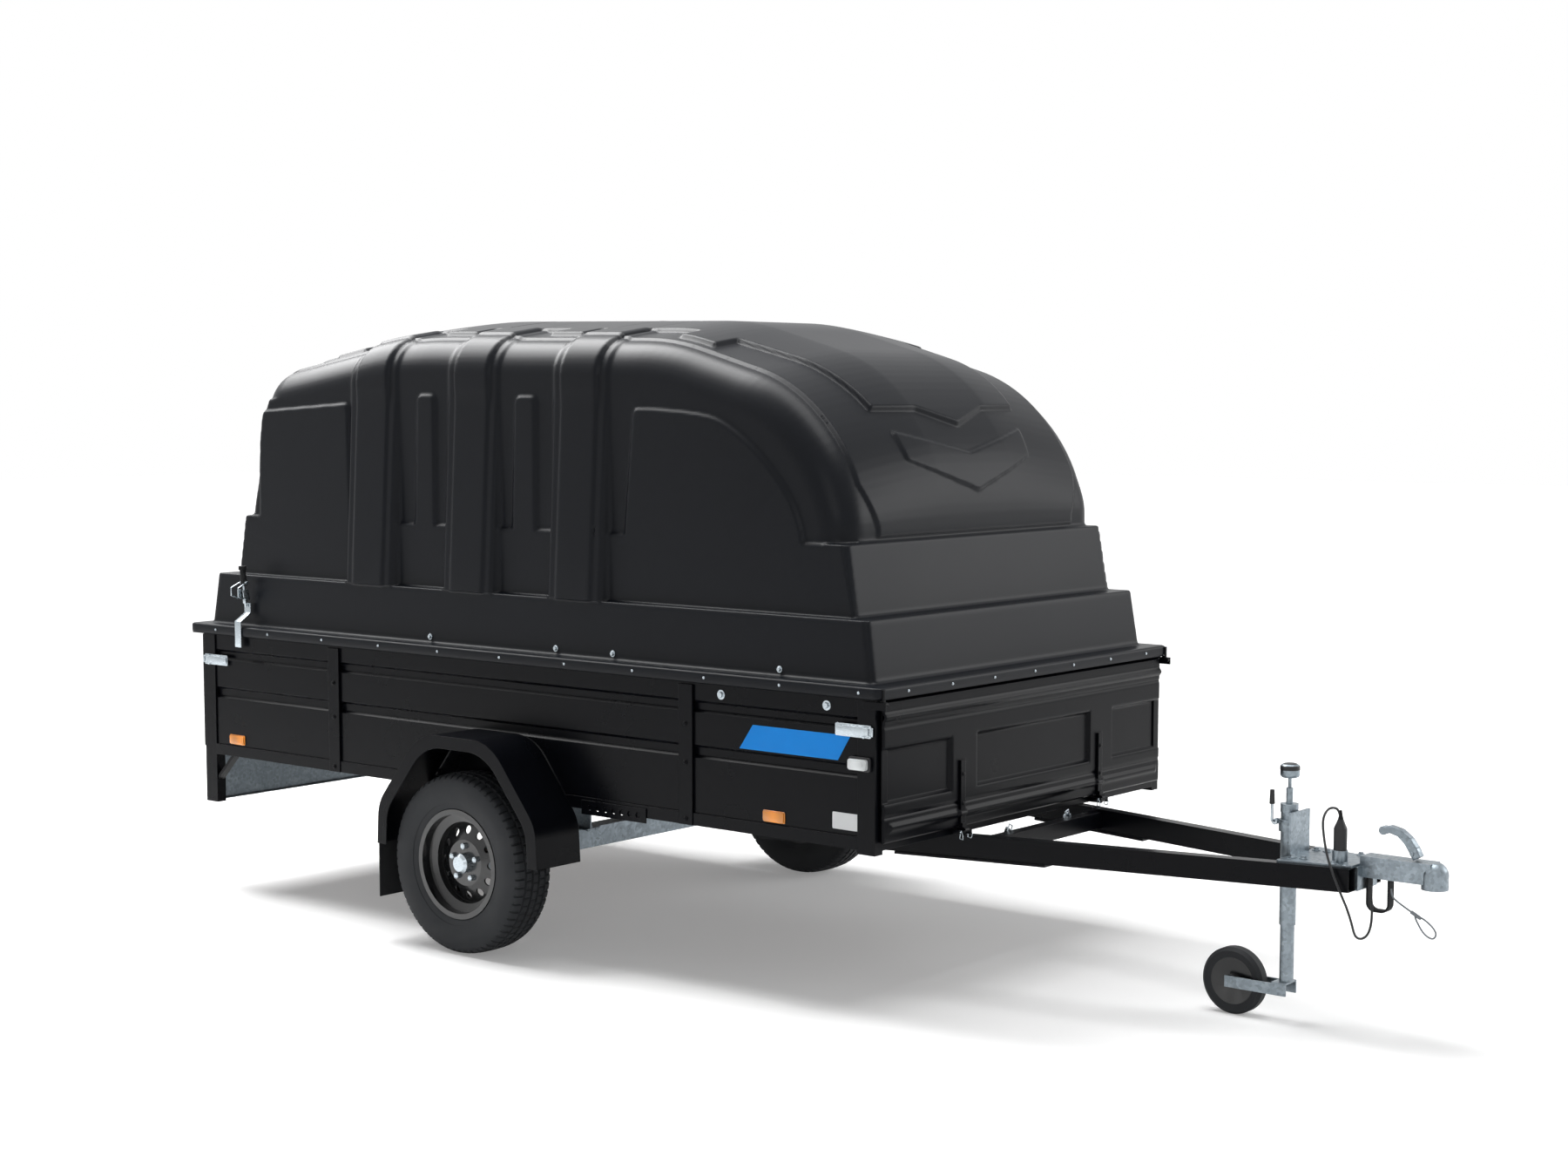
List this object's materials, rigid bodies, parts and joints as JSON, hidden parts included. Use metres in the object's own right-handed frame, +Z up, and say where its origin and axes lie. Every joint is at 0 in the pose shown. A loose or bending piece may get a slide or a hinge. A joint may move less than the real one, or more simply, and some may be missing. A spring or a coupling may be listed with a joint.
{
  "type": "covered box trailer",
  "caption": "Single-axle pressed-steel box trailer with a tall hinged moulded lid, end gates, tilting drawbar, ball coupling and jockey wheel.",
  "frame": {"origin": "middle of the bounding box on the ground", "axes": "+X forward to the coupling, +Y to the left, +Z up"},
  "size_m": [4.593, 1.966, 2.0654],
  "materials": {
    "black_steel": "satin black powder coat",
    "lid_plastic": "grained black moulding",
    "plywood": "film faced plywood",
    "tyre_rubber": "matt",
    "rim_steel": "black paint",
    "zinc": "bright zinc",
    "galvanised": "hot dip galvanised",
    "lamp_red": "clear red",
    "lamp_white": "clear",
    "lamp_amber": "clear amber",
    "black_rubber": "matt",
    "black_plastic": "moulded"
  },
  "bodies": {
    "box": {"floor_panel": "plywood", "side_panel_right": "black_steel", "side_panel_left": "black_steel", "corner_posts": "black_steel", "middle_posts": "black_steel", "side_sills": "black_steel", "top_rails": "black_steel", "chassis_frame": "black_steel", "lamp_panel": "galvanised", "tail_lamps": "lamp_red", "rear_braces": "black_steel", "marker_lamps": "lamp_white", "side_reflectors": "lamp_amber", "gate_latches": "zinc", "front_gate_hinges": "black_steel", "tailgate_hinges": "black_steel", "lid_hinge_plates": "black_steel", "axle_arms": "galvanised", "axle_beam": "galvanised", "axle_brackets": "black_steel", "mudguard_right": "black_steel", "mudguard_left": "black_steel", "mud_flaps": "black_rubber", "step_plates": "black_steel", "drawbar_pivots": "black_steel"},
    "front_gate": {"front_gate_panel": "black_steel", "front_gate_arms": "black_steel"},
    "tailgate": {"tailgate_panel": "black_steel", "tailgate_hinge_leaves": "black_steel"},
    "lid": {"lid_shell": "lid_plastic", "lid_hinge_leaves": "black_steel", "lid_latches": "zinc"},
    "wheel_right": {"wheel_tyre_right": "tyre_rubber", "wheel_rim_right": "rim_steel", "wheel_hub_right": "zinc"},
    "wheel_left": {"wheel_tyre_left": "tyre_rubber", "wheel_rim_left": "rim_steel", "wheel_hub_left": "zinc"},
    "drawbar": {"drawbar_beams": "black_steel", "drawbar_doublers": "black_steel", "drawbar_crossbar": "black_steel", "toggle_catches": "zinc", "drawbar_nose_plate": "galvanised", "coupling_body": "galvanised", "coupling_handle": "galvanised", "towing_loop": "galvanised", "jockey_mast": "galvanised", "jockey_crank": "black_steel", "jockey_clamp": "galvanised", "plug_holder": "black_plastic", "lighting_plug": "black_plastic"},
    "jockey_leg": {"jockey_leg": "galvanised"},
    "jockey_fork": {"jockey_fork": "galvanised"},
    "jockey_wheel": {"jockey_tyre": "tyre_rubber", "jockey_rim": "black_plastic"}
  },
  "joints": [
    {"name": "lid_hinge", "type": "hinge", "parent": "box", "child": "lid", "pos_m": [0.9275, 0, 0.938], "axis": [0, 1, 0], "range_deg": [0, 48]},
    {"name": "front_gate_hinge", "type": "hinge", "parent": "box", "child": "front_gate", "pos_m": [0.9265, 0, 0.518], "axis": [0, 1, 0], "range_deg": [0, 90]},
    {"name": "tailgate_hinge", "type": "hinge", "parent": "box", "child": "tailgate", "pos_m": [-2.2625, 0, 0.512], "axis": [0, -1, 0], "range_deg": [0, 100]},
    {"name": "wheel_right_spin", "type": "hinge", "parent": "box", "child": "wheel_right", "pos_m": [-0.6985, -0.88, 0.298], "axis": [0, 1, 0], "continuous": true},
    {"name": "wheel_left_spin", "type": "hinge", "parent": "box", "child": "wheel_left", "pos_m": [-0.6985, 0.88, 0.298], "axis": [0, 1, 0], "continuous": true},
    {"name": "drawbar_tilt", "type": "hinge", "parent": "box", "child": "drawbar", "pos_m": [0.2355, 0, 0.464], "axis": [0, 1, 0], "range_deg": [0, 10]},
    {"name": "jockey_raise", "type": "slide", "parent": "drawbar", "child": "jockey_leg", "axis": [0, 0, 1], "range_m": [0, 0.155]},
    {"name": "jockey_swivel", "type": "hinge", "parent": "jockey_leg", "child": "jockey_fork", "pos_m": [1.8055, 0, 0.12], "axis": [0, 0, 1], "continuous": true},
    {"name": "jockey_spin", "type": "hinge", "parent": "jockey_fork", "child": "jockey_wheel", "pos_m": [1.6375, 0, 0.1], "axis": [0, 1, 0], "continuous": true}
  ]
}
